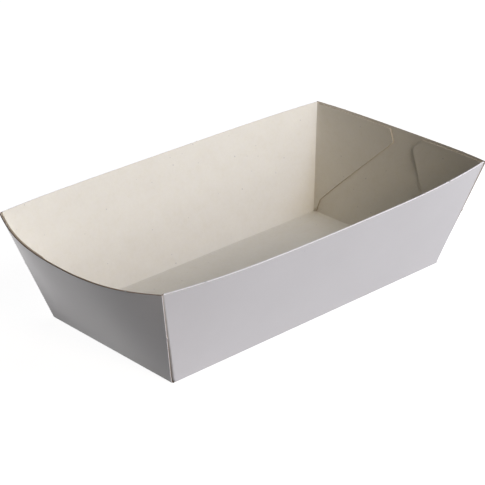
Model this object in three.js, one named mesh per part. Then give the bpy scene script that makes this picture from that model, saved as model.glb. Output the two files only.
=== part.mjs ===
// Paper food tray, folded from one die-cut blank of board that is white on its outside.
// The base, two long walls, two end walls and four glue flaps are one sheet. Each flap hangs on
// the end of a long wall, turns the corner and lies glued inside the end wall. The walls bow
// outwards between the corners, and their rims dip there, because each wall keeps its height.
// Millimetres. +X runs along the tray, +Y across it and +Z up.
// The origin is the centre of the underside of the base.

import * as THREE from 'three';
import { mergeGeometries, mergeVertices } from 'three/addons/utils/BufferGeometryUtils.js';

// Driving dimensions, over the outside of the board
const baseLength = 150.2;
const baseWidth = 75.3;
const rimLength = 178.0;
const rimWidth = 100.3;
const cornerHeight = 47.1;
const board = 0.6;
const glueLine = 0.15;
const baseFoldRadius = 0.9;
const cornerFoldRadius = 0.8;

// How far the middle of each rim bows out of the line between its corners
const frontBow = 4.1;
const backBow = 6.5;
const leftBow = 9.0;
const rightBow = 7.4;

// A bow's fullness: 2 is a parabola, and more keeps the middle flatter
const frontBowPower = 2.9;
const backBowPower = 2.9;
const leftBowPower = 2.45;
const rightBowPower = 2.2;

// A flap's outline: heights up the wall from the base fold, and reaches from the corner fold
const flapFootHeight = 1.5;
const flapFootReach = 2.0;
const flapHeelHeight = 6.7;
const flapHeelReach = 4.1;
const flapToeHeight = 42.4;
const flapToeReach = 42.8;
const flapTopReach = 40.3;
const flapTopStep = 0.5;
const flapTopDrop = 0.9;
const raisedFlapDrop = 0.55;

// Mesh fineness
const longSteps = 20;
const endSteps = 14;
const bendSteps = 3;
const climbSteps = 6;
const flapSteps = 8;
const cornerSteps = 3;
const weldTolerance = 1e-3;

const boardColour = 0xc9c7c9;
const boardRoughness = 0.45;

// A wall stands on the base fold at baseReach from the centre line, and its rim's corners lie at
// rimReach. The base is flat as far as flatReach, where the fold's bend begins.
function makeWall(baseReach, rimReach, bow, bowPower) {
  const lean = rimReach - baseReach;
  const slant = Math.hypot(lean, cornerHeight);
  const cornerTurn = Math.acos(lean / slant);
  const setback = baseFoldRadius * Math.tan(cornerTurn / 2);
  return {
    lean,
    slant,
    bow,
    bowPower,
    setback,
    cornerLean: Math.PI / 2 - cornerTurn,
    flatReach: baseReach - setback,
    straight: slant - setback,
  };
}

const walls = {
  front: makeWall(baseWidth / 2, rimWidth / 2, frontBow, frontBowPower),
  back: makeWall(baseWidth / 2, rimWidth / 2, backBow, backBowPower),
  left: makeWall(baseLength / 2, rimLength / 2, leftBow, leftBowPower),
  right: makeWall(baseLength / 2, rimLength / 2, rightBow, rightBowPower),
};
const flatHalfLength = walls.left.flatReach;
const flatHalfWidth = walls.front.flatReach;

// A flap's outer face lies one board and one glue line inside the end wall's outer face
const flapDepth = board + glueLine;

// Rows of a wall, from the flat of the base up to the rim. turn is the share of the fold's bend,
// and climb is the share of the straight part above it.
const bendRows = Array.from({ length: bendSteps + 1 }, (_, i) => ({ turn: i / bendSteps, climb: 0 }));

function rowAtHeight(wall, height) {
  return { turn: 1, climb: (height - wall.setback) / wall.straight };
}

function evenRows(low, high, steps) {
  return Array.from({ length: steps }, (_, i) => ({
    turn: 1,
    climb: THREE.MathUtils.lerp(low.climb, high.climb, (i + 1) / steps),
  }));
}

const footRow = rowAtHeight(walls.front, flapFootHeight);
const heelRow = rowAtHeight(walls.front, flapHeelHeight);
const toeRow = rowAtHeight(walls.front, flapToeHeight);
const rimRow = { turn: 1, climb: 1 };
const flapRows = [footRow, heelRow, ...evenRows(heelRow, toeRow, climbSteps), rimRow];
const longRows = [...bendRows, ...flapRows];
const endRows = [...bendRows, ...evenRows({ climb: 0 }, rimRow, climbSteps + 2)];

// The angle that the base fold turns at a station along the wall, from -1 to 1 at the corners.
// The wall's height up the slant never changes, so more lean brings the rim down.
function foldTurn(wall, station) {
  const swell = 1 - Math.abs(station) ** wall.bowPower;
  return Math.acos((wall.lean + wall.bow * swell) / wall.slant);
}

// A point of the wall's section: flat, then round the bend, then straight up the slant.
// depth is how far the point lies inside the outer face.
function sectionPoint(wall, station, row, depth) {
  const turn = row.turn * foldTurn(wall, station);
  const radius = baseFoldRadius - depth;
  const rise = row.climb * wall.straight;
  return {
    reach: wall.flatReach + radius * Math.sin(turn) + rise * Math.cos(turn),
    height: baseFoldRadius - radius * Math.cos(turn) + rise * Math.sin(turn),
  };
}

// The sharp corner between a long wall and its flap, which the corner fold then rounds
function sharpCorner(longWall, endWall, row, depth) {
  const across = sectionPoint(longWall, 1, row, depth);
  const inset = (flapDepth + depth) / Math.cos(endWall.cornerLean);
  const along = rimLength / 2 - inset - endWall.lean * (1 - across.height / cornerHeight);
  return new THREE.Vector3(along, across.reach, across.height);
}

// Half the length of a long wall at a row, up to where its corner folds begin
function longHalfLength(longWall, endWall, row) {
  if (row.climb < footRow.climb) {
    return flatHalfLength;
  }
  return sharpCorner(longWall, endWall, row, 0).x - cornerFoldRadius;
}

function longWallPoint(longWall, side, station, row, depth) {
  const endWall = station < 0 ? walls.left : walls.right;
  const section = sectionPoint(longWall, station, row, depth);
  const along = station * longHalfLength(longWall, endWall, row);
  return new THREE.Vector3(along, side * section.reach, section.height);
}

// Half the width of an end wall at a row, out to its cut edges
function endHalfWidth(row) {
  return THREE.MathUtils.lerp(flatHalfWidth, rimWidth / 2, row.climb);
}

function endWallPoint(endWall, side, station, row, depth) {
  const section = sectionPoint(endWall, station, row, depth);
  return new THREE.Vector3(side * section.reach, station * endHalfWidth(row), section.height);
}

// The reach of a flap's free edge from the corner, at a row of the wall
function flapReach(row) {
  const edge = [
    [footRow.climb, flapFootReach],
    [heelRow.climb, flapHeelReach],
    [toeRow.climb, flapToeReach],
    [rimRow.climb, flapTopReach],
  ];
  const next = Math.max(1, edge.findIndex(([climb]) => climb >= row.climb));
  const [lowClimb, lowReach] = edge[next - 1];
  const [highClimb, highReach] = edge[next];
  return THREE.MathUtils.mapLinear(row.climb, lowClimb, highClimb, lowReach, highReach);
}

// How far a flap's top edge lies below the rim, at a share of its reach. It is cut a step low
// beside its fold and drops further towards its free end, though less on the flap that was
// glued on higher, at the back of the left end.
function flapDrop(longWall, endWall, share) {
  const raised = longWall === walls.back && endWall === walls.left;
  const freeDrop = raised ? raisedFlapDrop : flapTopDrop;
  return share > 0 ? THREE.MathUtils.lerp(flapTopStep, freeDrop, share) : 0;
}

// A point of a flap. share runs from 0 at the corner fold to 1 at the free edge.
function flapPoint(longWall, endWall, sideX, sideY, share, row, depth) {
  const corner = sharpCorner(longWall, endWall, row, 0);
  const across = corner.y - THREE.MathUtils.lerp(cornerFoldRadius, flapReach(row), share);
  const inside = flapDepth + depth;
  const drop = row === rimRow ? flapDrop(longWall, endWall, share) : 0;
  const slip = inside * Math.tan(endWall.cornerLean) + drop;
  const level = { turn: 1, climb: row.climb - slip / endWall.straight };
  const section = sectionPoint(endWall, across / endHalfWidth(level), level, inside);
  return new THREE.Vector3(sideX * section.reach, sideY * across, section.height);
}

// A point of a corner fold: a quadratic curve from the long wall to the flap that has its middle
// control point at the sharp corner
function cornerPoint(longWall, endWall, sideX, sideY, share, row, depth) {
  const start = longWallPoint(longWall, sideY, sideX, row, depth);
  const middle = sharpCorner(longWall, endWall, row, depth);
  middle.set(sideX * middle.x, sideY * middle.y, middle.z);
  const end = flapPoint(longWall, endWall, sideX, sideY, 0, row, depth);
  return new THREE.QuadraticBezierCurve3(start, middle, end).getPoint(share);
}

// A grid of the sheet. Each vertex has its place on the outer face, and in a second attribute
// its place on the inner face.
function sheetPatch(columns, rows, pointAt) {
  const patch = new THREE.PlaneGeometry(1, 1, columns, rows);
  const outer = patch.getAttribute('position');
  const inner = outer.clone();
  for (let i = 0; i < outer.count; i += 1) {
    const column = i % (columns + 1);
    const row = Math.floor(i / (columns + 1));
    outer.setXYZ(i, ...pointAt(column, row, 0));
    inner.setXYZ(i, ...pointAt(column, row, board));
  }
  patch.deleteAttribute('normal');
  patch.deleteAttribute('uv');
  patch.setAttribute('inner', inner);
  return patch;
}

function stationOf(column, steps) {
  return (2 * column) / steps - 1;
}

function basePatch() {
  return sheetPatch(longSteps, endSteps, (column, row, depth) => new THREE.Vector3(
    stationOf(column, longSteps) * flatHalfLength,
    stationOf(row, endSteps) * flatHalfWidth,
    depth,
  ));
}

function longWallPatch(wall, side) {
  return sheetPatch(longSteps, longRows.length - 1, (column, row, depth) => (
    longWallPoint(wall, side, stationOf(column, longSteps), longRows[row], depth)));
}

function endWallPatch(wall, side) {
  return sheetPatch(endSteps, endRows.length - 1, (column, row, depth) => (
    endWallPoint(wall, side, stationOf(column, endSteps), endRows[row], depth)));
}

function cornerPatch(longWall, endWall, sideX, sideY) {
  return sheetPatch(cornerSteps, flapRows.length - 1, (column, row, depth) => (
    cornerPoint(longWall, endWall, sideX, sideY, column / cornerSteps, flapRows[row], depth)));
}

function flapPatch(longWall, endWall, sideX, sideY) {
  return sheetPatch(flapSteps, flapRows.length - 1, (column, row, depth) => (
    flapPoint(longWall, endWall, sideX, sideY, column / flapSteps, flapRows[row], depth)));
}

// Orders a triangle of the sheet so that its outer face looks away from the inner face
function facingOut(skin, corners) {
  const outer = skin.getAttribute('position');
  const inner = skin.getAttribute('inner');
  const [a, b, c] = corners.map((i) => new THREE.Vector3().fromBufferAttribute(outer, i));
  const lining = new THREE.Vector3().fromBufferAttribute(inner, corners[0]);
  const normal = b.clone().sub(a).cross(c.clone().sub(a));
  return normal.dot(a.sub(lining)) > 0 ? corners : [corners[0], corners[2], corners[1]];
}

// Welds the patches into one sheet and closes it: the outer faces, the inner faces turned over,
// and a strip of cut edge wherever the sheet ends
function sheetSolid(patches) {
  const skin = mergeVertices(mergeGeometries(patches), weldTolerance);
  const outer = skin.getAttribute('position');
  const inner = skin.getAttribute('inner');
  const indices = Array.from(skin.index.array);
  const shift = outer.count;
  const faces = [];
  const edges = new Map();
  for (let i = 0; i < indices.length; i += 3) {
    const [a, b, c] = facingOut(skin, indices.slice(i, i + 3));
    faces.push(a, b, c, shift + a, shift + c, shift + b);
    for (const [from, to] of [[a, b], [b, c], [c, a]]) {
      edges.set(`${from} ${to}`, [from, to]);
    }
  }
  for (const [from, to] of edges.values()) {
    if (!edges.has(`${to} ${from}`)) {
      faces.push(to, from, shift + from, to, shift + from, shift + to);
    }
  }
  const solid = new THREE.BufferGeometry();
  const places = new Float32Array([...outer.array, ...inner.array]);
  solid.setAttribute('position', new THREE.BufferAttribute(places, 3));
  solid.setIndex(faces);
  solid.computeVertexNormals();
  return solid;
}

function trayPatches() {
  const patches = [basePatch()];
  for (const [longWall, sideY] of [[walls.front, -1], [walls.back, 1]]) {
    patches.push(longWallPatch(longWall, sideY));
    for (const [endWall, sideX] of [[walls.left, -1], [walls.right, 1]]) {
      patches.push(cornerPatch(longWall, endWall, sideX, sideY));
      patches.push(flapPatch(longWall, endWall, sideX, sideY));
    }
  }
  patches.push(endWallPatch(walls.left, -1));
  patches.push(endWallPatch(walls.right, 1));
  return patches;
}

function makeTray() {
  const material = new THREE.MeshStandardMaterial({
    color: boardColour,
    roughness: boardRoughness,
    metalness: 0,
  });
  const tray = new THREE.Mesh(sheetSolid(trayPatches()), material);
  tray.name = 'tray';
  return tray;
}

const foodTray = new THREE.Group();
foodTray.add(makeTray());

export default foodTray;
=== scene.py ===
"""A paper food tray, folded from one die-cut sheet of board that is white on its outside.

The board is one closed mesh worked out on grids: the base, two long walls, two end walls, four
rounded corner folds and four glue flaps. Metres, +X along the tray, +Y across it, +Z up, with the
origin at the centre of the underside of the base.
"""

import math

import bpy
import numpy as np
from mathutils import Matrix, Vector


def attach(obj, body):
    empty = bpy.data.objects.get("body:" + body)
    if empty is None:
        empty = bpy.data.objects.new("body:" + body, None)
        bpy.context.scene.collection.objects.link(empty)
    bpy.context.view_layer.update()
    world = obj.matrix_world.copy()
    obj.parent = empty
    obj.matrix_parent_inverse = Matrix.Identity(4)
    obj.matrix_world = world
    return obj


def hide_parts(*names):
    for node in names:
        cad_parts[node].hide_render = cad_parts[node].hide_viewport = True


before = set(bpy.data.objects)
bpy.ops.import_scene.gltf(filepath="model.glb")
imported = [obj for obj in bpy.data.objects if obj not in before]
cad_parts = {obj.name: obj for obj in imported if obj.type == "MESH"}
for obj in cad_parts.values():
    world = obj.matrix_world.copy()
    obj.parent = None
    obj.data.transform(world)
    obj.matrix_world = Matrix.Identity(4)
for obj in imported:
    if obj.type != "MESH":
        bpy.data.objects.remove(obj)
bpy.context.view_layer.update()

MM = 0.001

# The folded sheet, over the outside of the board
BASE_LENGTH = 150.2 * MM
BASE_WIDTH = 75.3 * MM
RIM_LENGTH = 178.0 * MM
RIM_WIDTH = 100.3 * MM
CORNER_HEIGHT = 47.1 * MM
BOARD = 0.6 * MM
GLUE_LINE = 0.06 * MM
BASE_FOLD_RADIUS = 0.9 * MM
CORNER_FOLD_RADIUS = 0.8 * MM

# How far the middle of each rim bows outwards, and how full each bow is
FRONT_BOW = 4.1 * MM
BACK_BOW = 6.5 * MM
LEFT_BOW = 9.0 * MM
RIGHT_BOW = 7.4 * MM
FRONT_BOW_POWER = 2.9
BACK_BOW_POWER = 2.9
LEFT_BOW_POWER = 2.45
RIGHT_BOW_POWER = 2.2

# A glue flap's outline: heights up the wall from its fold, and reaches from the corner
FLAP_FOOT_HEIGHT = 1.1 * MM
FLAP_FOOT_REACH = 2.0 * MM
FLAP_HEEL_HEIGHT = 6.7 * MM
FLAP_HEEL_REACH = 4.1 * MM
FLAP_TOE_HEIGHT = 42.4 * MM
FLAP_TOE_REACH = 42.8 * MM
FLAP_TOP_REACH = 40.3 * MM

# How far a flap's top lies below the rim just past its corner fold, and at its free end
FLAP_TOP_STEP = 0.5 * MM
FLAP_TOP_DROP = 0.9 * MM

# One flap was glued on higher, and its top ends sooner
RAISED_FLAP_REACH = 38.2 * MM
RAISED_FLAP_DROP = 0.55 * MM

# Fine forms of the board
CREASE_BEAD = 0.12 * MM
CREASE_BEAD_WIDTH = 0.7 * MM
RIPPLE = 0.07 * MM
EDGE_BULGE = 0.05 * MM

# Nicks: how far one stands out from a rim or from an end wall's side edge, and how wide it is
NICK_HEIGHT = 0.14 * MM
SIDE_NICK_HEIGHT = 0.35 * MM
NICK_WIDTH = 0.35 * MM
TORN_WIDTH = 0.4 * MM

# Shares of a flap's reach: its top steps down between the first two, and the last is a guard line
STEP_START = 0.004
STEP_STOP = 0.013
FREE_EDGE_GUARD = 0.997

# Guard lines of the mesh lie this close to an edge, and lines about a nick at these distances from it
GUARD = 0.12 * MM
NICK_SPREAD = np.array([-1.6, -0.8, 0.0, 0.8, 1.6]) * NICK_WIDTH

# Steps of the mesh, the tolerance on a climb, and the grid in metres on which vertices are joined
LONG_STEPS = 108
END_STEPS = 76
BEND_STEPS = 6
HEEL_STEPS = 3
CLIMB_STEPS = 24
TOP_STEPS = 4
FLAP_STEPS = 32
CORNER_STEPS = 8
EDGE_STEPS = 4
ROUNDING = 1e-9
WELD_GRID = 1e-7

# Die-cut nicks: places along each rim from its middle, and up the end walls' side edges
FRONT_NICKS = (-83.5 * MM, -69.4 * MM, 63.1 * MM)
BACK_NICKS = (-66.0 * MM, 20.5 * MM, 70.0 * MM)
LEFT_NICKS = (-35.5 * MM, 38.8 * MM)
RIGHT_NICKS = (-34.0 * MM, 36.0 * MM)
SIDE_NICK_CLIMB = 0.52

# Share of the board's thickness that the knife draws the coat over on each end wall's side edges, where
# the cut edge is painted whiter than the coat itself, partly a painted highlight
LEFT_LIP = 0.5
RIGHT_LIP = 0.2

# Height of the paper's tooth on the coat, on the lining and on the cut edge
COAT_TOOTH = 0.01 * MM
LINING_TOOTH = 0.03 * MM
CUT_TOOTH = 0.02 * MM

# The flat blank's width in the UV map, which the whole sheet fits inside
BLANK_SPAN = 300.0 * MM

# The camera: its place, angles in degrees, lens and sensor in millimetres, and reach in metres
CAMERA_PLACE = (-435.9 * MM, -476.8 * MM, 328.6 * MM)
CAMERA_AZIMUTH = -42.153
CAMERA_ELEVATION = 25.406
CAMERA_ROLL = -0.826
CAMERA_LENS = 128.0
CAMERA_SENSOR = 36.0
CAMERA_FAR = 20.0


class Wall:
    """A wall on a base fold that leans out to its rim, more in the middle than at its ends. The bend
    starts and stops short of the sharp fold by its radius times the tangent of half its turn."""

    def __init__(self, base_reach, rim_reach, bow, bow_power, side, nicks):
        self.lean = rim_reach - base_reach
        self.slant = math.hypot(self.lean, CORNER_HEIGHT)
        self.bow = bow
        self.bow_power = bow_power
        self.side = side
        self.nicks = nicks
        corner_turn = math.acos(self.lean / self.slant)
        self.corner_lean = math.pi / 2 - corner_turn
        self.setback = BASE_FOLD_RADIUS * math.tan(corner_turn / 2)
        self.flat_reach = base_reach - self.setback
        self.straight = self.slant - self.setback


FRONT = Wall(BASE_WIDTH / 2, RIM_WIDTH / 2, FRONT_BOW, FRONT_BOW_POWER, -1, FRONT_NICKS)
BACK = Wall(BASE_WIDTH / 2, RIM_WIDTH / 2, BACK_BOW, BACK_BOW_POWER, 1, BACK_NICKS)
LEFT = Wall(BASE_LENGTH / 2, RIM_LENGTH / 2, LEFT_BOW, LEFT_BOW_POWER, -1, LEFT_NICKS)
RIGHT = Wall(BASE_LENGTH / 2, RIM_LENGTH / 2, RIGHT_BOW, RIGHT_BOW_POWER, 1, RIGHT_NICKS)
FLAT_HALF_LENGTH = LEFT.flat_reach
FLAT_HALF_WIDTH = FRONT.flat_reach
FLAP_DEPTH = BOARD + GLUE_LINE


def fold_turn(wall, station):
    """Angle that the base fold turns: its cosine is the wall's lean, plus the bow times one less a
    power of the station, over the wall's height up the slant."""
    swell = 1 - np.abs(station) ** wall.bow_power
    return np.arccos((wall.lean + wall.bow * swell) / wall.slant)


def ripple(wall, station, climb):
    """Slight waves of the board out of its plane: a long and a short sine along the wall, which grow
    with the climb and die out with the fourth power of the station towards the wall's two ends."""
    long_wave = np.sin(4.3 * station + 1.7 * wall.side)
    short_wave = 0.6 * np.sin(8.9 * station + 2.0 * climb)
    from_edge = 1 - np.clip(np.abs(station), 0, 1) ** 4
    return RIPPLE * (long_wave + short_wave) * climb * from_edge


def section(wall, station, turn_share, climb, depth):
    """A point of the wall's section: round the fold's bend on a circle, then straight up the slant.
    Depth is how far it lies inside the outer face. Returns the reach from the centre, and the height."""
    turn = turn_share * fold_turn(wall, station)
    radius = BASE_FOLD_RADIUS - depth + ripple(wall, station, climb)
    rise = climb * wall.straight
    reach = wall.flat_reach + radius * np.sin(turn) + rise * np.cos(turn)
    height = BASE_FOLD_RADIUS - radius * np.cos(turn) + rise * np.sin(turn)
    return reach, height


def bead(distance):
    """Thickness that a crease adds to the inner face: a bell curve over the distance from it."""
    return CREASE_BEAD * np.exp(-((distance / CREASE_BEAD_WIDTH) ** 2))


def bell(along, places, width):
    """Sum of bell curves of one width about each place along an edge."""
    return sum((np.exp(-(((along - place) / width) ** 2)) for place in places), np.zeros_like(along))


def stations(half_length, steps, nick_sets):
    """Even stations from -1 to 1, with guards close to both ends and a cluster about each nick."""
    even = np.linspace(-1, 1, steps + 1)
    guard = 1 - GUARD / half_length
    clusters = [(place + NICK_SPREAD) / half_length for nicks in nick_sets for place in nicks]
    return np.unique(np.round(np.concatenate([even, [-guard, guard], *clusters]), 5))


LONG_STATIONS = stations(RIM_LENGTH / 2, LONG_STEPS, (FRONT_NICKS, BACK_NICKS))
END_STATIONS = stations(RIM_WIDTH / 2, END_STEPS, (LEFT_NICKS, RIGHT_NICKS))
BEND_TURNS = np.linspace(0, 1, BEND_STEPS + 1)


def climb_at(wall, height):
    """Share of a wall's straight part at a height up the slant from its nominal fold."""
    return (height - wall.setback) / wall.straight


FOOT = climb_at(FRONT, FLAP_FOOT_HEIGHT)
HEEL = climb_at(FRONT, FLAP_HEEL_HEIGHT)
TOE = climb_at(FRONT, FLAP_TOE_HEIGHT)
RIM_GUARD = 1 - GUARD / FRONT.straight
BEND_GUARD = GUARD / FRONT.straight
FLAP_CLIMBS = np.sort(np.concatenate([
    np.linspace(FOOT, HEEL, HEEL_STEPS, endpoint=False),
    np.linspace(HEEL, TOE, CLIMB_STEPS, endpoint=False),
    np.linspace(TOE, RIM_GUARD, TOP_STEPS),
    SIDE_NICK_CLIMB + NICK_SPREAD / FRONT.straight,
    [1.0],
]))


def wall_rows(climbs):
    """Rows of a wall: the bend's turns, a guard just above them, and then the given climbs."""
    turns = np.concatenate([BEND_TURNS, np.ones(len(climbs) + 1)])
    rises = np.concatenate([np.zeros(len(BEND_TURNS)), [BEND_GUARD], climbs])
    return turns, rises


WALL_ROWS = wall_rows(FLAP_CLIMBS)


def sharp_corner(long_wall, end_wall, climb, depth):
    """Where the long wall's face meets its flap's face before the corner is rounded."""
    across, height = section(long_wall, 1.0, 1.0, climb, depth)
    inset = (FLAP_DEPTH + depth) / math.cos(end_wall.corner_lean)
    along = RIM_LENGTH / 2 - inset - end_wall.lean * (1 - height / CORNER_HEIGHT)
    return along, across, height


def below_foot(climb):
    """True of the rows below the flaps' feet, where the long walls have no corner folds."""
    return climb < FOOT - ROUNDING


def long_half_length(long_wall, end_wall, climb):
    """Half a long wall's length, up to its corner folds above the flap's foot."""
    corner = sharp_corner(long_wall, end_wall, climb, 0.0)[0] - CORNER_FOLD_RADIUS
    return np.where(below_foot(climb), FLAT_HALF_LENGTH, corner)


def long_wall_sheet(wall, station, turn_share, climb, inner):
    """A long wall: its section, carried along X between its corner folds. The rim row lifts at the
    nicks, and the inner face has the creases' beads."""
    left_half = long_half_length(wall, LEFT, climb)
    right_half = long_half_length(wall, RIGHT, climb)
    half = np.where(station < 0, left_half, right_half)
    along = station * half
    at_corner = np.where(below_foot(climb), 0.0, bead(half - np.abs(along)))
    depth = inner * (BOARD + bead(climb * wall.straight) + at_corner)
    nick = np.where(climb > RIM_GUARD, bell(along, wall.nicks, NICK_WIDTH), 0.0)
    lifted = climb + nick * NICK_HEIGHT / wall.straight
    reach, height = section(wall, station, turn_share, lifted, depth)
    return np.stack([along, wall.side * reach, height], axis=-1)


def end_half_width(climb):
    """Half an end wall's width, which grows evenly with the climb."""
    return FLAT_HALF_WIDTH + (RIM_WIDTH / 2 - FLAT_HALF_WIDTH) * climb


def end_wall_sheet(wall, station, turn_share, climb, inner):
    """An end wall: its section, carried along Y between its two cut edges, with a nick on each."""
    along = station * end_half_width(climb)
    depth = inner * (BOARD + bead(climb * wall.straight))
    nick = np.where(climb > RIM_GUARD, bell(along, wall.nicks, NICK_WIDTH), 0.0)
    lifted = climb + nick * NICK_HEIGHT / wall.straight
    reach, height = section(wall, station, turn_share, lifted, depth)
    side_nick = bell(climb, (SIDE_NICK_CLIMB,), NICK_WIDTH / wall.straight) * (np.abs(station) >= 1)
    across = along + np.sign(station) * side_nick * SIDE_NICK_HEIGHT
    return np.stack([wall.side * reach, across, height], axis=-1)


def is_raised(long_wall, end_wall):
    """True of the one flap that was glued on higher than the others."""
    return (long_wall, end_wall) == (BACK, LEFT)


def flap_reach(long_wall, end_wall, climb):
    """Reach of a flap's free edge: straight lines between its foot, heel, toe and top."""
    top_reach = RAISED_FLAP_REACH if is_raised(long_wall, end_wall) else FLAP_TOP_REACH
    heights = [FOOT, HEEL, TOE, 1.0]
    return np.interp(climb, heights, [FLAP_FOOT_REACH, FLAP_HEEL_REACH, FLAP_TOE_REACH, top_reach])


def flap_drop(long_wall, end_wall, share, climb):
    """How far a flap's top lies below the rim: a step just past its fold, and then a straight line
    down to its free end, which was glued on higher on one flap. It fades out down to the toe."""
    free_drop = RAISED_FLAP_DROP if is_raised(long_wall, end_wall) else FLAP_TOP_DROP
    drop = FLAP_TOP_STEP + (free_drop - FLAP_TOP_STEP) * share
    past_fold = np.clip((share - STEP_START) / (STEP_STOP - STEP_START), 0, 1)
    return drop * past_fold * np.clip((climb - TOE) / (1 - TOE), 0, 1)


def flap_sheet(long_wall, end_wall, share, climb, inner):
    """A flap: the end wall's own section, one board and one glue line further in, from the corner
    fold out to the flap's free edge."""
    corner = sharp_corner(long_wall, end_wall, climb, 0.0)[1]
    from_fold = (flap_reach(long_wall, end_wall, climb) - CORNER_FOLD_RADIUS) * share
    across = corner - CORNER_FOLD_RADIUS - from_fold
    depth = inner * (BOARD + bead(climb * long_wall.straight) + bead(from_fold))
    inside = FLAP_DEPTH + depth
    drop = flap_drop(long_wall, end_wall, share, climb)
    level = climb - (inside * math.tan(end_wall.corner_lean) + drop) / end_wall.straight
    reach, height = section(end_wall, across / end_half_width(level), 1.0, level, inside)
    return np.stack([end_wall.side * reach, long_wall.side * across, height], axis=-1)


def corner_sheet(long_wall, end_wall, share, climb, inner):
    """A corner fold: a quadratic curve from the long wall to the flap, with its middle control
    point at the sharp corner."""
    ends = np.ones_like(share)
    start = long_wall_sheet(long_wall, end_wall.side * ends, ends, climb, inner)
    depth = inner * (BOARD + bead(climb * long_wall.straight) + CREASE_BEAD)
    along, across, height = sharp_corner(long_wall, end_wall, climb, depth)
    middle = np.stack([end_wall.side * along, long_wall.side * across, height], axis=-1)
    stop = flap_sheet(long_wall, end_wall, 0 * ends, climb, inner)
    t = share[..., None]
    return (1 - t) ** 2 * start + 2 * t * (1 - t) * middle + t ** 2 * stop


def base_sheet(x, y, inner):
    """The flat base, with the four creases' beads on its inner face."""
    beads = bead(FLAT_HALF_LENGTH - np.abs(x)) + bead(FLAT_HALF_WIDTH - np.abs(y))
    at_corner = np.minimum(beads, CREASE_BEAD)
    return np.stack([x, y, inner * (BOARD + at_corner)], axis=-1)


def blank_climb(wall, turn_share, climb):
    """Distance up a wall on the flat blank, from the end of the base's flat: the bend's arc and
    then the straight part."""
    arc = BASE_FOLD_RADIUS * (math.pi / 2 - wall.corner_lean) * turn_share
    return arc + climb * wall.straight


def as_patch(outer, inner, flat, lip=0.0, torn=0.0, pale=0.0):
    """One grid of the sheet: its two faces, its place on the flat blank, and three marks for its cut
    edge: lip where the white coat is drawn over it and a painted highlight whitens it beyond the coat,
    torn where a nick broke, and pale on a flap, where the edge is painted paler as painted light."""
    rows, columns = outer.shape[:2]
    index = np.arange(rows * columns).reshape(rows, columns)
    quads = np.stack([index[:-1, :-1], index[:-1, 1:], index[1:, 1:], index[1:, :-1]], axis=-1)
    quads = quads.reshape(-1, 4)
    points = outer.reshape(-1, 3)
    inward = inner.reshape(-1, 3) - points
    first, second, third = (points[quads[:, i]] for i in range(3))
    normal = np.cross(second - first, third - first)
    if np.sum(normal * inward[quads[:, 0]]) > 0:
        quads = quads[:, ::-1]
    marks = np.stack([np.broadcast_to(mark, (rows, columns)) for mark in (lip, torn, pale)], axis=-1)
    return points, inner.reshape(-1, 3), flat.reshape(-1, 2), marks.reshape(-1, 3), quads


def base_patch():
    """The base's grid: the long walls' stations by the end walls' stations, inside the four folds."""
    x, y = np.meshgrid(LONG_STATIONS * FLAT_HALF_LENGTH, END_STATIONS * FLAT_HALF_WIDTH)
    flat = np.stack([x, y], axis=-1)
    return as_patch(base_sheet(x, y, 0.0), base_sheet(x, y, 1.0), flat)


def long_wall_patch(wall):
    """A long wall's grid: stations along it by rows up its bend and slant. The coat is drawn over its
    whole rim, with a painted highlight that whitens it beyond the coat, and the board is torn about each
    nick."""
    turns, climbs = WALL_ROWS
    station, turn = np.meshgrid(LONG_STATIONS, turns)
    climb = np.broadcast_to(climbs[:, None], station.shape)
    outer = long_wall_sheet(wall, station, turn, climb, 0.0)
    inner = long_wall_sheet(wall, station, turn, climb, 1.0)
    flat_y = wall.side * (wall.flat_reach + blank_climb(wall, turn, climb))
    flat = np.stack([outer[..., 0], flat_y], axis=-1)
    at_rim = climb > RIM_GUARD
    torn = at_rim * bell(outer[..., 0], wall.nicks, TORN_WIDTH)
    return as_patch(outer, inner, flat, lip=at_rim, torn=torn)


def end_wall_patch(wall, side_lip):
    """An end wall's grid, made the same way. The coat is drawn over a share of the board's thickness
    on its side edges, with a painted highlight that whitens it beyond the coat."""
    turns, climbs = WALL_ROWS
    station, turn = np.meshgrid(END_STATIONS, turns)
    climb = np.broadcast_to(climbs[:, None], station.shape)
    outer = end_wall_sheet(wall, station, turn, climb, 0.0)
    inner = end_wall_sheet(wall, station, turn, climb, 1.0)
    flat_x = wall.side * (wall.flat_reach + blank_climb(wall, turn, climb))
    flat = np.stack([flat_x, outer[..., 1]], axis=-1)
    rim_torn = (climb > RIM_GUARD) * bell(outer[..., 1], wall.nicks, TORN_WIDTH)
    at_side = np.abs(station) >= 1
    return as_patch(outer, inner, flat, lip=at_side * side_lip, torn=rim_torn)


def corner_patch(long_wall, end_wall):
    """A corner fold's grid: shares round the fold by climbs. The coat drawn over the long rim, with its
    painted highlight, fades out over the fold's first half."""
    share, climb = np.meshgrid(np.linspace(0, 1, CORNER_STEPS + 1), FLAP_CLIMBS)
    outer = corner_sheet(long_wall, end_wall, share, climb, 0.0)
    inner = corner_sheet(long_wall, end_wall, share, climb, 1.0)
    start = long_half_length(long_wall, end_wall, climb)
    flat_x = end_wall.side * (start + share * 2 * CORNER_FOLD_RADIUS)
    flat_y = long_wall.side * (long_wall.flat_reach + blank_climb(long_wall, 1.0, climb))
    lip = (climb > RIM_GUARD) * np.clip(1 - 2 * share, 0, 1)
    return as_patch(outer, inner, np.stack([flat_x, flat_y], axis=-1), lip=lip)


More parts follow.
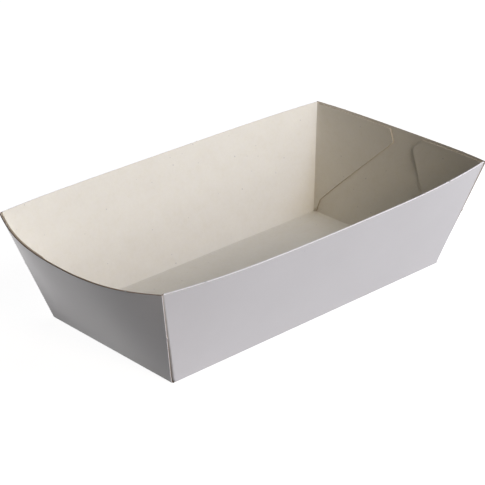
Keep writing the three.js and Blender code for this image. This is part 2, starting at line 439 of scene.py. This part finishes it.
def flap_patch(long_wall, end_wall):
    """A flap's grid: shares of its reach by climbs, with closer lines at its top's step down and at
    its free edge."""
    even = np.linspace(0, 1, FLAP_STEPS + 1)
    shares = np.unique(np.concatenate([even, [STEP_START, STEP_STOP, FREE_EDGE_GUARD]]))
    share, climb = np.meshgrid(shares, FLAP_CLIMBS)
    outer = flap_sheet(long_wall, end_wall, share, climb, 0.0)
    inner = flap_sheet(long_wall, end_wall, share, climb, 1.0)
    start = long_half_length(long_wall, end_wall, climb) + 2 * CORNER_FOLD_RADIUS
    reach = flap_reach(long_wall, end_wall, climb) - CORNER_FOLD_RADIUS
    flat_x = end_wall.side * (start + share * reach)
    flat_y = long_wall.side * (long_wall.flat_reach + blank_climb(long_wall, 1.0, climb))
    # pale marks the flap's cut edges, which are painted paler as painted light
    return as_patch(outer, inner, np.stack([flat_x, flat_y], axis=-1), pale=1.0)


def sheet_patches():
    """Every grid of the sheet: the base, the end walls, and each long wall with its folds and flaps."""
    patches = [base_patch(), end_wall_patch(LEFT, LEFT_LIP), end_wall_patch(RIGHT, RIGHT_LIP)]
    for long_wall in (FRONT, BACK):
        patches.append(long_wall_patch(long_wall))
        for end_wall in (LEFT, RIGHT):
            patches.append(corner_patch(long_wall, end_wall))
            patches.append(flap_patch(long_wall, end_wall))
    return patches


def weld(patches):
    """Joins the grids into one sheet. Vertices whose outer places agree to a tenth of a micron
    become one."""
    shifts = np.cumsum([0] + [len(patch[0]) for patch in patches[:-1]])
    outer, inner, flat, marks = (np.concatenate([patch[i] for patch in patches]) for i in range(4))
    quads = np.concatenate([patch[4] + shift for patch, shift in zip(patches, shifts)])
    keys = np.round(outer / WELD_GRID).astype(np.int64)
    _, first, same = np.unique(keys, axis=0, return_index=True, return_inverse=True)
    same = same.reshape(-1)
    merged_marks = np.zeros((len(first), marks.shape[1]))
    np.maximum.at(merged_marks, same, marks)
    return outer[first], inner[first], flat[first], merged_marks, same[quads]


def border(quads, count):
    """The sheet's border as pairs of a vertex and its next one: the edges that one quad uses."""
    start = quads.reshape(-1)
    stop = np.roll(quads, -1, axis=1).reshape(-1)
    single = ~np.isin(start * count + stop, stop * count + start)
    return start[single], stop[single]


def unit(vectors):
    """Each vector over its own length."""
    return vectors / np.linalg.norm(vectors, axis=-1, keepdims=True)


def close_sheet(outer, inner, flat, marks, quads):
    """Closes the sheet: its outer face, its inner face turned over, and between their borders a
    cut edge that bulges out on half a sine."""
    count = len(outer)
    start, stop = border(quads, count)
    follows = np.zeros(count, np.int64)
    leads = np.zeros(count, np.int64)
    follows[start] = stop
    leads[stop] = start
    tangent = unit(outer[follows[start]] - outer[leads[start]])
    outward = unit(np.cross(tangent, unit(outer[start] - inner[start])))
    slot_of = np.zeros(count, np.int64)
    slot_of[start] = np.arange(len(start))
    points, flats, tags = [outer, inner], [flat, flat], [marks, marks]
    plies = [np.zeros(count), np.ones(count)]
    rings = [start]
    for step in range(1, EDGE_STEPS):
        share = step / EDGE_STEPS
        bulge = EDGE_BULGE * math.sin(math.pi * share)
        rings.append(2 * count + (step - 1) * len(start) + np.arange(len(start)))
        points.append(outer[start] * (1 - share) + inner[start] * share + bulge * outward)
        flats.append(flat[start])
        tags.append(marks[start])
        plies.append(np.full(len(start), share))
    rings.append(start + count)
    turn = slot_of[stop]
    strips = [
        np.stack([low[turn], low, high, high[turn]], axis=-1)
        for low, high in zip(rings[:-1], rings[1:])
    ]
    faces = np.concatenate([quads, quads[:, ::-1] + count, *strips])
    parts = np.repeat([0, 1, 2], [len(quads), len(quads), sum(len(strip) for strip in strips)])
    return (np.concatenate(points), np.concatenate(flats), np.concatenate(tags),
            np.concatenate(plies), faces, parts)


def fill_attribute(mesh, name, values):
    """Gives the mesh one number at each vertex, for the materials to read."""
    attribute = mesh.attributes.new(name, "FLOAT", "POINT")
    attribute.data.foreach_set("value", np.ascontiguousarray(values, np.float32))


def make_board(materials):
    """The whole folded sheet as one mesh, with its blank's flat plan as its UV map."""
    points, flats, tags, plies, faces, parts = close_sheet(*weld(sheet_patches()))
    mesh = bpy.data.meshes.new("folded_board")
    mesh.from_pydata(points.tolist(), [], faces.tolist())
    mesh.polygons.foreach_set("material_index", parts.astype(np.int32))
    mesh.polygons.foreach_set("use_smooth", np.ones(len(faces), bool))
    plan = mesh.uv_layers.new(name="blank_plan")
    corner_vertex = np.empty(len(mesh.loops), np.int64)
    mesh.loops.foreach_get("vertex_index", corner_vertex)
    plan_places = 0.5 + flats / BLANK_SPAN
    plan.data.foreach_set("uv", plan_places[corner_vertex].astype(np.float32).reshape(-1))
    fill_attribute(mesh, "ply", plies)
    fill_attribute(mesh, "lip", tags[:, 0])
    fill_attribute(mesh, "torn", tags[:, 1])
    # pale: where the cut edge is painted paler as painted light
    fill_attribute(mesh, "pale", tags[:, 2])
    for material in materials:
        mesh.materials.append(material)
    mesh.update()
    mesh.validate()
    board = bpy.data.objects.new("folded_board", mesh)
    bpy.context.scene.collection.objects.link(board)
    return board


# Node helpers

def new_group(name, inputs, outputs):
    """An empty node group with named sockets. Each input is a name, a socket type and a default."""
    group = bpy.data.node_groups.new(name, "ShaderNodeTree")
    for label, kind, default in inputs:
        socket = group.interface.new_socket(name=label, in_out="INPUT", socket_type=kind)
        if default is not None:
            socket.default_value = default
    for label, kind in outputs:
        group.interface.new_socket(name=label, in_out="OUTPUT", socket_type=kind)
    return group, group.nodes.new("NodeGroupInput"), group.nodes.new("NodeGroupOutput")


def math_node(tree, operation, first, second=None, clamp=False):
    """A math node. Each operand is a socket to link or a number to set."""
    node = tree.nodes.new("ShaderNodeMath")
    node.operation = operation
    node.use_clamp = clamp
    for socket, value in zip(node.inputs, (first, second)):
        if isinstance(value, bpy.types.NodeSocket):
            tree.links.new(value, socket)
        elif value is not None:
            socket.default_value = value
    return node.outputs[0]


def map_range(tree, value, low, high, to_low, to_high, smooth=False):
    """Maps a value from one span to another, straight or with eased ends. Any limit may be a socket."""
    node = tree.nodes.new("ShaderNodeMapRange")
    node.interpolation_type = "SMOOTHSTEP" if smooth else "LINEAR"
    tree.links.new(value, node.inputs["Value"])
    for label, number in (("From Min", low), ("From Max", high), ("To Min", to_low), ("To Max", to_high)):
        if isinstance(number, bpy.types.NodeSocket):
            tree.links.new(number, node.inputs[label])
        else:
            node.inputs[label].default_value = number
    return node.outputs["Result"]


def mix_colour(tree, factor, first, second):
    """A colour mix. The factor and both colours are sockets to link or values to set."""
    node = tree.nodes.new("ShaderNodeMix")
    node.data_type = "RGBA"
    for index, value in ((0, factor), (6, first), (7, second)):
        if isinstance(value, bpy.types.NodeSocket):
            tree.links.new(value, node.inputs[index])
        else:
            node.inputs[index].default_value = value
    return node.outputs[2]


def noise(tree, vector, scale, detail, roughness=0.5):
    """Fractal noise between 0 and 1 at a place, with a socket or a number for its scale."""
    node = tree.nodes.new("ShaderNodeTexNoise")
    node.noise_dimensions = "3D"
    tree.links.new(vector, node.inputs["Vector"])
    if isinstance(scale, bpy.types.NodeSocket):
        tree.links.new(scale, node.inputs["Scale"])
    else:
        node.inputs["Scale"].default_value = scale
    node.inputs["Detail"].default_value = detail
    node.inputs["Roughness"].default_value = roughness
    return node.outputs["Fac"]


def blank_vector(tree, shift):
    """The place on the flat blank in metres, shifted so that no two patterns share their noise."""
    uv = tree.nodes.new("ShaderNodeUVMap")
    uv.uv_map = "blank_plan"
    mapping = tree.nodes.new("ShaderNodeMapping")
    mapping.inputs["Scale"].default_value = (BLANK_SPAN, BLANK_SPAN, BLANK_SPAN)
    mapping.inputs["Location"].default_value = (shift, 0.37 * shift, 0.11 * shift)
    tree.links.new(uv.outputs["UV"], mapping.inputs["Vector"])
    return mapping.outputs["Vector"]


def make_mottle_group():
    """Cloudiness of the board: coarse and fine noise, each centred on zero, added together."""
    inputs = [
        ("Vector", "NodeSocketVector", None),
        ("Coarse scale", "NodeSocketFloat", 60.0),
        ("Fine scale", "NodeSocketFloat", 700.0),
        ("Fine share", "NodeSocketFloat", 0.5),
    ]
    group, source, sink = new_group("board_mottle", inputs, [("Mottle", "NodeSocketFloat")])
    coarse = noise(group, source.outputs["Vector"], source.outputs["Coarse scale"], 3.0, 0.55)
    fine = noise(group, source.outputs["Vector"], source.outputs["Fine scale"], 2.0, 0.6)
    coarse = math_node(group, "SUBTRACT", coarse, 0.5)
    fine = math_node(group, "SUBTRACT", fine, 0.5)
    fine = math_node(group, "MULTIPLY", fine, source.outputs["Fine share"])
    total = math_node(group, "ADD", coarse, fine)
    group.links.new(total, sink.inputs["Mottle"])
    return group


def make_speck_group():
    """Specks of coloured fibre: in a share of the cells of an uneven pattern of cells, a small dot
    of its own size about the cell's own point."""
    inputs = [
        ("Vector", "NodeSocketVector", None),
        ("Cells per metre", "NodeSocketFloat", 160.0),
        ("Share", "NodeSocketFloat", 0.1),
        ("Radius", "NodeSocketFloat", 0.05),
    ]
    group, source, sink = new_group("fibre_specks", inputs, [("Mask", "NodeSocketFloat")])
    cells = group.nodes.new("ShaderNodeTexVoronoi")
    cells.voronoi_dimensions = "2D"
    cells.feature = "F1"
    group.links.new(source.outputs["Vector"], cells.inputs["Vector"])
    group.links.new(source.outputs["Cells per metre"], cells.inputs["Scale"])
    parts = group.nodes.new("ShaderNodeSeparateColor")
    group.links.new(cells.outputs["Color"], parts.inputs["Color"])
    chosen = math_node(group, "LESS_THAN", parts.outputs["Red"], source.outputs["Share"])
    wobble = noise(group, source.outputs["Vector"], 2500.0, 1.0)
    wobble = map_range(group, wobble, 0.2, 0.8, 0.6, 1.4)
    size = map_range(group, parts.outputs["Green"], 0.0, 1.0, 0.4, 1.0)
    size = math_node(group, "MULTIPLY", size, source.outputs["Radius"])
    size = math_node(group, "MULTIPLY", size, wobble)
    inside = map_range(group, cells.outputs["Distance"], size, 0.0, 0.0, 1.0, smooth=True)
    strength = map_range(group, parts.outputs["Blue"], 0.0, 1.0, 0.4, 1.0)
    mask = math_node(group, "MULTIPLY", chosen, inside)
    mask = math_node(group, "MULTIPLY", mask, strength, clamp=True)
    group.links.new(mask, sink.inputs["Mask"])
    return group


def make_tooth_group():
    """Tooth of the paper: fine noise that is drawn out along the board's grain."""
    inputs = [
        ("Vector", "NodeSocketVector", None),
        ("Scale", "NodeSocketFloat", 1800.0),
        ("Grain", "NodeSocketFloat", 0.35),
    ]
    group, source, sink = new_group("paper_tooth", inputs, [("Height", "NodeSocketFloat")])
    along = group.nodes.new("ShaderNodeCombineXYZ")
    group.links.new(source.outputs["Grain"], along.inputs["X"])
    along.inputs["Y"].default_value = 1.0
    along.inputs["Z"].default_value = 1.0
    drawn = group.nodes.new("ShaderNodeVectorMath")
    drawn.operation = "MULTIPLY"
    group.links.new(source.outputs["Vector"], drawn.inputs[0])
    group.links.new(along.outputs["Vector"], drawn.inputs[1])
    fine = noise(group, drawn.outputs["Vector"], source.outputs["Scale"], 3.0, 0.65)
    group.links.new(fine, sink.inputs["Height"])
    return group


MOTTLE = make_mottle_group()
SPECKS = make_speck_group()
TOOTH = make_tooth_group()


def place_group(tree, group, vector, **values):
    """Puts a pattern's group into a material with its own values, and gives its output."""
    node = tree.nodes.new("ShaderNodeGroup")
    node.node_tree = group
    tree.links.new(vector, node.inputs["Vector"])
    for label, value in values.items():
        node.inputs[label.replace("_", " ")].default_value = value
    return node.outputs[0]


def new_material(name):
    """A material, its nodes and the shader that it starts with."""
    material = bpy.data.materials.new(name)
    material.use_nodes = True
    tree = material.node_tree
    return material, tree, tree.nodes["Principled BSDF"]


def add_bump(tree, shader, height, distance, strength):
    """Feeds a height between 0 and 1, over a real distance, into the shader's normal."""
    bump = tree.nodes.new("ShaderNodeBump")
    bump.inputs["Distance"].default_value = distance
    bump.inputs["Strength"].default_value = strength
    tree.links.new(height, bump.inputs["Height"])
    tree.links.new(bump.outputs["Normal"], shader.inputs["Normal"])


def coat_material():
    """The outside: a smooth white pigment coat with a satin sheen over faintly cloudy board."""
    material, tree, shader = new_material("white_satin_coat")
    vector = blank_vector(tree, 3.1)
    cloud = place_group(tree, MOTTLE, vector, Coarse_scale=45.0, Fine_scale=900.0, Fine_share=0.35)
    tone = map_range(tree, cloud, -0.25, 0.25, 0.0, 1.0)
    colour = mix_colour(tree, tone, (0.655, 0.638, 0.642, 1), (0.68, 0.663, 0.667, 1))
    speck = place_group(tree, SPECKS, vector, Cells_per_metre=70.0, Share=0.10, Radius=0.02)
    colour = mix_colour(tree, speck, colour, (0.42, 0.40, 0.39, 1))
    tree.links.new(colour, shader.inputs["Base Color"])
    sheen = map_range(tree, cloud, -0.3, 0.3, 0.29, 0.35)
    tree.links.new(sheen, shader.inputs["Roughness"])
    shader.inputs["Specular IOR Level"].default_value = 0.5
    tooth = place_group(tree, TOOTH, vector, Scale=1500.0, Grain=0.4)
    add_bump(tree, shader, tooth, COAT_TOOTH, 0.5)
    return material


def lining_material():
    """The inside: uncoated grey-cream recycled board, mottled, with a few dark specks and pale
    fibres."""
    material, tree, shader = new_material("grey_cream_lining")
    vector = blank_vector(tree, 7.7)
    cloud = place_group(tree, MOTTLE, vector, Coarse_scale=110.0, Fine_scale=800.0, Fine_share=0.8)
    tone = map_range(tree, cloud, -0.3, 0.3, 0.0, 1.0)
    colour = mix_colour(tree, tone, (0.740, 0.700, 0.606, 1), (0.780, 0.747, 0.657, 1))
    tint = noise(tree, vector, 320.0, 2.0)
    tint = map_range(tree, tint, 0.35, 0.65, 0.0, 0.5)
    colour = mix_colour(tree, tint, colour, (0.770, 0.736, 0.668, 1))
    small = place_group(tree, SPECKS, vector, Cells_per_metre=150.0, Share=0.2, Radius=0.07)
    colour = mix_colour(tree, small, colour, (0.38, 0.37, 0.38, 1))
    fibre_place = blank_vector(tree, 12.9)
    pale = place_group(tree, SPECKS, fibre_place, Cells_per_metre=420.0, Share=0.12, Radius=0.16)
    pale = math_node(tree, "MULTIPLY", pale, 0.16)
    colour = mix_colour(tree, pale, colour, (0.86, 0.83, 0.78, 1))
    tree.links.new(colour, shader.inputs["Base Color"])
    shader.inputs["Roughness"].default_value = 0.86
    shader.inputs["Specular IOR Level"].default_value = 0.25
    tooth = place_group(tree, TOOTH, vector, Scale=1300.0, Grain=0.3)
    add_bump(tree, shader, tooth, LINING_TOOTH, 0.6)
    return material


def attribute_value(tree, name):
    """A number that the mesh has at each vertex."""
    node = tree.nodes.new("ShaderNodeAttribute")
    node.attribute_name = name
    return node.outputs["Fac"]


def cut_edge_material():
    """The cut edge: a thin white ply outside, a brown-grey core and a cream ply inside, and a paler
    tan painted on the flaps as painted light. The knife drew the white coat over the long rims and part
    of the end walls' sides, painted whiter than the coat as a painted highlight, and each broken nick
    shows torn grey fibre."""
    material, tree, shader = new_material("cut_board_edge")
    vector = blank_vector(tree, 19.3)
    ply = attribute_value(tree, "ply")
    cloud = place_group(tree, MOTTLE, vector, Coarse_scale=150.0, Fine_scale=700.0, Fine_share=0.4)
    tone = map_range(tree, cloud, -0.5, 0.5, 0.0, 1.0)
    core = mix_colour(tree, tone, (0.265, 0.195, 0.145, 1), (0.36, 0.28, 0.215, 1))
    outside = map_range(tree, ply, 0.05, 0.22, 1.0, 0.0, smooth=True)
    colour = mix_colour(tree, outside, core, (0.40, 0.37, 0.35, 1))
    inside = map_range(tree, ply, 0.72, 0.95, 0.0, 1.0, smooth=True)
    colour = mix_colour(tree, inside, colour, (0.50, 0.43, 0.35, 1))
    # Painted light: the flaps' cut edges get a paler tan than the same board's other edges, standing in
    # for the light that falls on them
    flap_painted_light = mix_colour(tree, tone, (0.45, 0.37, 0.265, 1), (0.55, 0.47, 0.355, 1))
    colour = mix_colour(tree, attribute_value(tree, "pale"), colour, flap_painted_light)
    # Painted highlight: the coat drawn over the cut edge is painted whiter than the coat itself, standing
    # in for the light that the up-facing rim edges catch
    lip = attribute_value(tree, "lip")
    beyond = math_node(tree, "SUBTRACT", ply, lip)
    drawn = map_range(tree, beyond, -0.05, 0.05, 1.0, 0.0, smooth=True)
    drawn = math_node(tree, "MULTIPLY", drawn, math_node(tree, "GREATER_THAN", lip, 0.1))
    colour = mix_colour(tree, drawn, colour, (0.88, 0.855, 0.855, 1))
    torn = attribute_value(tree, "torn")
    torn = math_node(tree, "MULTIPLY", torn, 1.2, clamp=True)
    colour = mix_colour(tree, torn, colour, (0.42, 0.41, 0.40, 1))
    tree.links.new(colour, shader.inputs["Base Color"])
    shader.inputs["Roughness"].default_value = 0.9
    shader.inputs["Specular IOR Level"].default_value = 0.2
    tooth = place_group(tree, TOOTH, vector, Scale=1500.0, Grain=1.0)
    add_bump(tree, shader, tooth, CUT_TOOTH, 0.4)
    return material


# Stage: a floor that is grey to the lamps and white to the eye, soft studio light and the camera

FLOOR_SPAN = 6.0
FLOOR_DROP = 0.1 * MM
FLOOR_ALBEDO = 0.30
FLOOR_LIFT = 0.93
WORLD_DIFFUSE = 0.022
LAMP_TINT = (0.965, 0.975, 1.0)
LAMP_TINTS = {
    "front_high": (1.0, 0.82, 0.63),
    "right_high": (0.68, 0.76, 1.0),
    "left_card": (1.0, 0.92, 0.98),
}
LAMPS = {
    # name: distance from the tray, azimuth, elevation, width, height, watts
    "right_low": (2.0, 300, 12, 1.0, 0.7, 9.2),
    "front_mid": (2.0, 270, 20, 0.6, 0.6, 5.9),
    "front_high": (2.0, 264, 32, 0.6, 0.6, 8.9),
    "right_high": (2.0, 300, 32, 0.6, 0.6, 12.9),
    "near_box": (0.5, 315, 50, 0.2, 0.2, 0.67),
    "left_card": (0.328, 113.4, 5.0, 0.12, 0.05, 0.238),
    "back_fill": (2.0, 30, 12, 1.0, 0.7, 6.0),
}


def camera_rays(tree):
    """One on rays that show the backdrop itself: straight from the camera, mirrored or refracted."""
    path = tree.nodes.new("ShaderNodeLightPath")
    seen = math_node(tree, "MAXIMUM", path.outputs["Is Camera Ray"], path.outputs["Is Glossy Ray"])
    return math_node(tree, "MAXIMUM", seen, path.outputs["Is Transmission Ray"])


def make_floor():
    """A square floor just under the tray. Its own glow reaches only the rays that show it."""
    mesh = bpy.data.meshes.new("studio_floor")
    half = FLOOR_SPAN / 2
    corners = [(-half, -half, -FLOOR_DROP), (half, -half, -FLOOR_DROP),
               (half, half, -FLOOR_DROP), (-half, half, -FLOOR_DROP)]
    mesh.from_pydata(corners, [], [(0, 1, 2, 3)])
    material, tree, shader = new_material("studio_white")
    shader.inputs["Base Color"].default_value = (FLOOR_ALBEDO, FLOOR_ALBEDO, FLOOR_ALBEDO, 1)
    shader.inputs["Roughness"].default_value = 1.0
    shader.inputs["Specular IOR Level"].default_value = 0.0
    shader.inputs["Emission Color"].default_value = (1, 1, 1, 1)
    lift = math_node(tree, "MULTIPLY", camera_rays(tree), FLOOR_LIFT)
    tree.links.new(lift, shader.inputs["Emission Strength"])
    mesh.materials.append(material)
    floor = bpy.data.objects.new("studio_floor", mesh)
    bpy.context.scene.collection.objects.link(floor)


def make_world():
    """A white backdrop, which adds only a little light of its own."""
    world = bpy.data.worlds.new("studio")
    world.use_nodes = True
    tree = world.node_tree
    background = tree.nodes["Background"]
    background.inputs["Color"].default_value = (1, 1, 1, 1)
    strength = map_range(tree, camera_rays(tree), 0.0, 1.0, WORLD_DIFFUSE, 1.0)
    tree.links.new(strength, background.inputs["Strength"])
    bpy.context.scene.world = world


def make_lamps():
    """Soft boxes round the tray, each facing it. Azimuth runs from +X towards +Y."""
    for name, (distance, azimuth, elevation, width, height, watts) in LAMPS.items():
        turn, rise = math.radians(azimuth), math.radians(elevation)
        level = math.cos(rise)
        towards = Vector((math.cos(turn) * level, math.sin(turn) * level, math.sin(rise)))
        light = bpy.data.lights.new(name, "AREA")
        light.shape = "RECTANGLE"
        light.size = width
        light.size_y = height
        light.energy = watts
        light.color = LAMP_TINTS.get(name, LAMP_TINT)
        lamp = bpy.data.objects.new(name, light)
        lamp.location = distance * towards
        lamp.rotation_euler = towards.to_track_quat("Z", "Y").to_euler()
        lamp.visible_camera = False
        bpy.context.scene.collection.objects.link(lamp)


def make_camera():
    """The camera's axes from its azimuth, elevation and roll: back points from the scene to it."""
    azimuth, elevation, roll = (math.radians(a) for a in (CAMERA_AZIMUTH, CAMERA_ELEVATION, CAMERA_ROLL))
    back = Vector((math.sin(azimuth) * math.cos(elevation), -math.cos(azimuth) * math.cos(elevation),
                   math.sin(elevation)))
    level = Vector((math.cos(azimuth), math.sin(azimuth), 0.0))
    upright = back.cross(level)
    right = math.cos(roll) * level + math.sin(roll) * upright
    up = -math.sin(roll) * level + math.cos(roll) * upright
    data = bpy.data.cameras.new("camera")
    data.lens = CAMERA_LENS
    data.sensor_width = CAMERA_SENSOR
    data.clip_end = CAMERA_FAR
    camera = bpy.data.objects.new("camera", data)
    turned = Matrix((right, up, back)).transposed().to_4x4()
    camera.matrix_world = Matrix.Translation(CAMERA_PLACE) @ turned
    bpy.context.scene.collection.objects.link(camera)
    bpy.context.scene.camera = camera


bpy.context.scene.view_settings.view_transform = "Standard"
make_camera()
board = make_board([coat_material(), lining_material(), cut_edge_material()])
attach(board, "root")
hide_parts("tray")
make_floor()
make_world()
make_lamps()
